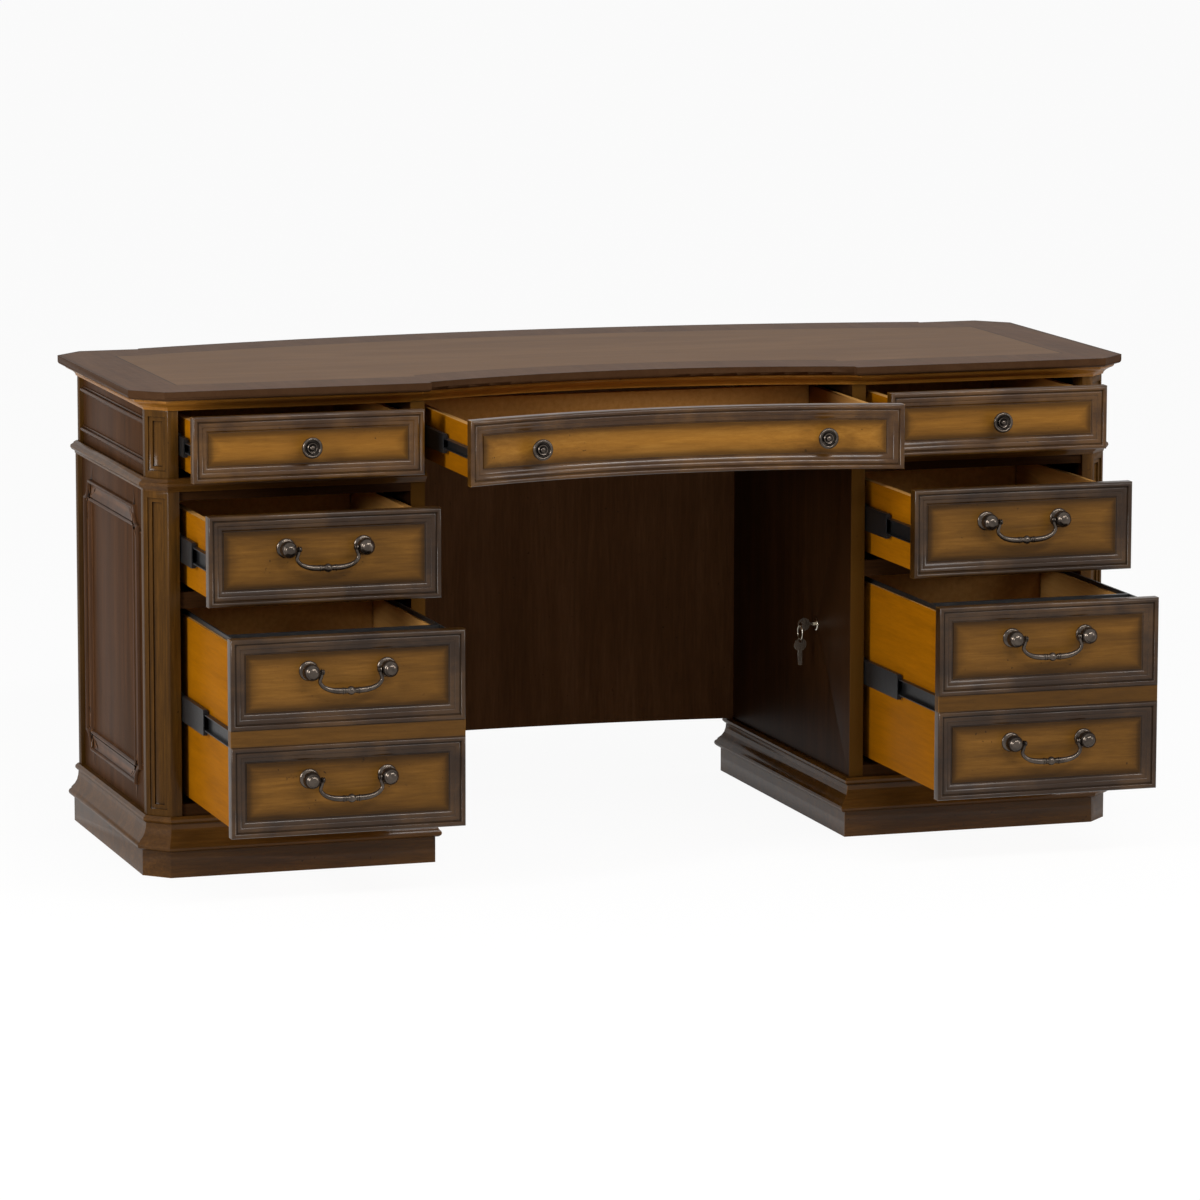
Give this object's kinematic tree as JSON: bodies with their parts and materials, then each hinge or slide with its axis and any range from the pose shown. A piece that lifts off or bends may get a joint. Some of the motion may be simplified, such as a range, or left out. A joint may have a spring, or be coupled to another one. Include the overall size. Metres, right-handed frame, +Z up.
{
  "type": "executive desk",
  "caption": "Double-pedestal writing desk with a hollow front, bowed back, moulded drawers on metal runners, bail pulls, knobs and a side lock.",
  "frame": {"origin": "on the floor, under the middle of the bounding box with the drawers out as stored", "axes": "+X along the desk to the right of the sitter, +Y from the sitter to the bowed back, +Z up"},
  "size_m": [1.702, 1.032, 0.787],
  "materials": {
    "top_veneer": "dark brown satin veneer with a crossbanded border",
    "case_wood": "dark brown stained wood, satin",
    "dark_wood": "very dark brown stained wood, satin",
    "moulding_wood": "burnished cognac brown mouldings with dark glaze",
    "front_wood": "burnished cognac brown with glazed corners",
    "drawer_wood": "golden orange lacquered wood",
    "runner_black": "black coated steel",
    "pewter": "dark antique pewter",
    "nickel": "nickel plated"
  },
  "bodies": {
    "case": {"top_panel": "top_veneer", "top_moulding": "moulding_wood", "corner_posts": "case_wood", "upper_case_panels": "case_wood", "drawer_dividers": "case_wood", "drawer_decks": "case_wood", "waist_mouldings": "moulding_wood", "pedestal_side_panels": "case_wood", "side_panel_mouldings": "moulding_wood", "pedestal_inner_sides": "case_wood", "pedestal_back_panels": "case_wood", "drawer_rails": "moulding_wood", "pedestal_floors": "moulding_wood", "plinths": "moulding_wood", "modesty_panel": "dark_wood", "case_runners": "runner_black", "lock_cylinder": "nickel"},
    "drawer_left_top": {"front_left_top": "front_wood", "box_left_top": "drawer_wood", "inner_runners_left_top": "runner_black", "knob_left_top": "pewter"},
    "slide_left_top": {"middle_runners_left_top": "runner_black"},
    "drawer_left_mid": {"front_left_mid": "front_wood", "box_left_mid": "drawer_wood", "inner_runners_left_mid": "runner_black", "pull_posts_left_mid": "pewter"},
    "slide_left_mid": {"middle_runners_left_mid": "runner_black"},
    "bail_left_mid": {"bail_left_mid": "pewter"},
    "drawer_left_file": {"front_left_file": "front_wood", "box_left_file": "drawer_wood", "inner_runners_left_file": "runner_black", "pull_posts_left_file": "pewter"},
    "slide_left_file": {"middle_runners_left_file": "runner_black"},
    "bail_left_file_upper": {"bail_left_file_upper": "pewter"},
    "bail_left_file_lower": {"bail_left_file_lower": "pewter"},
    "drawer_right_top": {"front_right_top": "front_wood", "box_right_top": "drawer_wood", "inner_runners_right_top": "runner_black", "knob_right_top": "pewter"},
    "slide_right_top": {"middle_runners_right_top": "runner_black"},
    "drawer_right_mid": {"front_right_mid": "front_wood", "box_right_mid": "drawer_wood", "inner_runners_right_mid": "runner_black", "pull_posts_right_mid": "pewter"},
    "slide_right_mid": {"middle_runners_right_mid": "runner_black"},
    "bail_right_mid": {"bail_right_mid": "pewter"},
    "drawer_right_file": {"front_right_file": "front_wood", "box_right_file": "drawer_wood", "inner_runners_right_file": "runner_black", "pull_posts_right_file": "pewter"},
    "slide_right_file": {"middle_runners_right_file": "runner_black"},
    "bail_right_file_upper": {"bail_right_file_upper": "pewter"},
    "bail_right_file_lower": {"bail_right_file_lower": "pewter"},
    "drawer_centre": {"front_centre": "front_wood", "box_centre": "drawer_wood", "inner_runners_centre": "runner_black", "knobs_centre": "pewter"},
    "slide_centre": {"middle_runners_centre": "runner_black"},
    "key": {"lock_key": "nickel"},
    "spare": {"spare_key": "nickel"}
  },
  "joints": [
    {"name": "pull_left_top", "type": "slide", "parent": "case", "child": "drawer_left_top", "axis": [0, -1, 0], "range_m": [-0.089, 0.311]},
    {"name": "runner_left_top", "type": "slide", "parent": "case", "child": "slide_left_top", "axis": [0, -1, 0], "range_m": [-0.0445, 0.1555]},
    {"name": "pull_left_mid", "type": "slide", "parent": "case", "child": "drawer_left_mid", "axis": [0, -1, 0], "range_m": [-0.182, 0.218]},
    {"name": "runner_left_mid", "type": "slide", "parent": "case", "child": "slide_left_mid", "axis": [0, -1, 0], "range_m": [-0.091, 0.109]},
    {"name": "swing_bail_left_mid", "type": "hinge", "parent": "drawer_left_mid", "child": "bail_left_mid", "pos_m": [-0.582, -0.3425, 0.55205], "axis": [-1, 0, 0], "range_deg": [-20, 85]},
    {"name": "pull_left_file", "type": "slide", "parent": "case", "child": "drawer_left_file", "axis": [0, -1, 0], "range_m": [-0.315, 0.105]},
    {"name": "runner_left_file", "type": "slide", "parent": "case", "child": "slide_left_file", "axis": [0, -1, 0], "range_m": [-0.1575, 0.0525]},
    {"name": "swing_bail_left_file_upper", "type": "hinge", "parent": "drawer_left_file", "child": "bail_left_file_upper", "pos_m": [-0.582, -0.4755, 0.3782], "axis": [-1, 0, 0], "range_deg": [-20, 85]},
    {"name": "swing_bail_left_file_lower", "type": "hinge", "parent": "drawer_left_file", "child": "bail_left_file_lower", "pos_m": [-0.582, -0.4755, 0.2077], "axis": [-1, 0, 0], "range_deg": [-20, 85]},
    {"name": "pull_right_top", "type": "slide", "parent": "case", "child": "drawer_right_top", "axis": [0, -1, 0], "range_m": [-0.112, 0.288]},
    {"name": "runner_right_top", "type": "slide", "parent": "case", "child": "slide_right_top", "axis": [0, -1, 0], "range_m": [-0.056, 0.144]},
    {"name": "pull_right_mid", "type": "slide", "parent": "case", "child": "drawer_right_mid", "axis": [0, -1, 0], "range_m": [-0.224, 0.176]},
    {"name": "runner_right_mid", "type": "slide", "parent": "case", "child": "slide_right_mid", "axis": [0, -1, 0], "range_m": [-0.112, 0.088]},
    {"name": "swing_bail_right_mid", "type": "hinge", "parent": "drawer_right_mid", "child": "bail_right_mid", "pos_m": [0.582, -0.3845, 0.55205], "axis": [-1, 0, 0], "range_deg": [-20, 85]},
    {"name": "pull_right_file", "type": "slide", "parent": "case", "child": "drawer_right_file", "axis": [0, -1, 0], "range_m": [-0.342, 0.078]},
    {"name": "runner_right_file", "type": "slide", "parent": "case", "child": "slide_right_file", "axis": [0, -1, 0], "range_m": [-0.171, 0.039]},
    {"name": "swing_bail_right_file_upper", "type": "hinge", "parent": "drawer_right_file", "child": "bail_right_file_upper", "pos_m": [0.582, -0.5025, 0.3782], "axis": [-1, 0, 0], "range_deg": [-20, 85]},
    {"name": "swing_bail_right_file_lower", "type": "hinge", "parent": "drawer_right_file", "child": "bail_right_file_lower", "pos_m": [0.582, -0.5025, 0.2077], "axis": [-1, 0, 0], "range_deg": [-20, 85]},
    {"name": "pull_centre", "type": "slide", "parent": "case", "child": "drawer_centre", "axis": [0, -1, 0], "range_m": [-0.264, 0.056]},
    {"name": "runner_centre", "type": "slide", "parent": "case", "child": "slide_centre", "axis": [0, -1, 0], "range_m": [-0.132, 0.028]},
    {"name": "turn_key", "type": "hinge", "parent": "case", "child": "key", "pos_m": [0.366, 0.021, 0.331], "axis": [-1, 0, 0], "range_deg": [0, 90]},
    {"name": "swing_spare_key", "type": "hinge", "parent": "key", "child": "spare", "pos_m": [0.3375, 0.021, 0.3292], "axis": [0, 1, 0], "range_deg": [-20, 20]}
  ],
  "couplings": [
    {"joint": "runner_left_top", "follows": "pull_left_top", "ratio": 0.5},
    {"joint": "runner_left_mid", "follows": "pull_left_mid", "ratio": 0.5},
    {"joint": "runner_left_file", "follows": "pull_left_file", "ratio": 0.5},
    {"joint": "runner_right_top", "follows": "pull_right_top", "ratio": 0.5},
    {"joint": "runner_right_mid", "follows": "pull_right_mid", "ratio": 0.5},
    {"joint": "runner_right_file", "follows": "pull_right_file", "ratio": 0.5},
    {"joint": "runner_centre", "follows": "pull_centre", "ratio": 0.5}
  ]
}
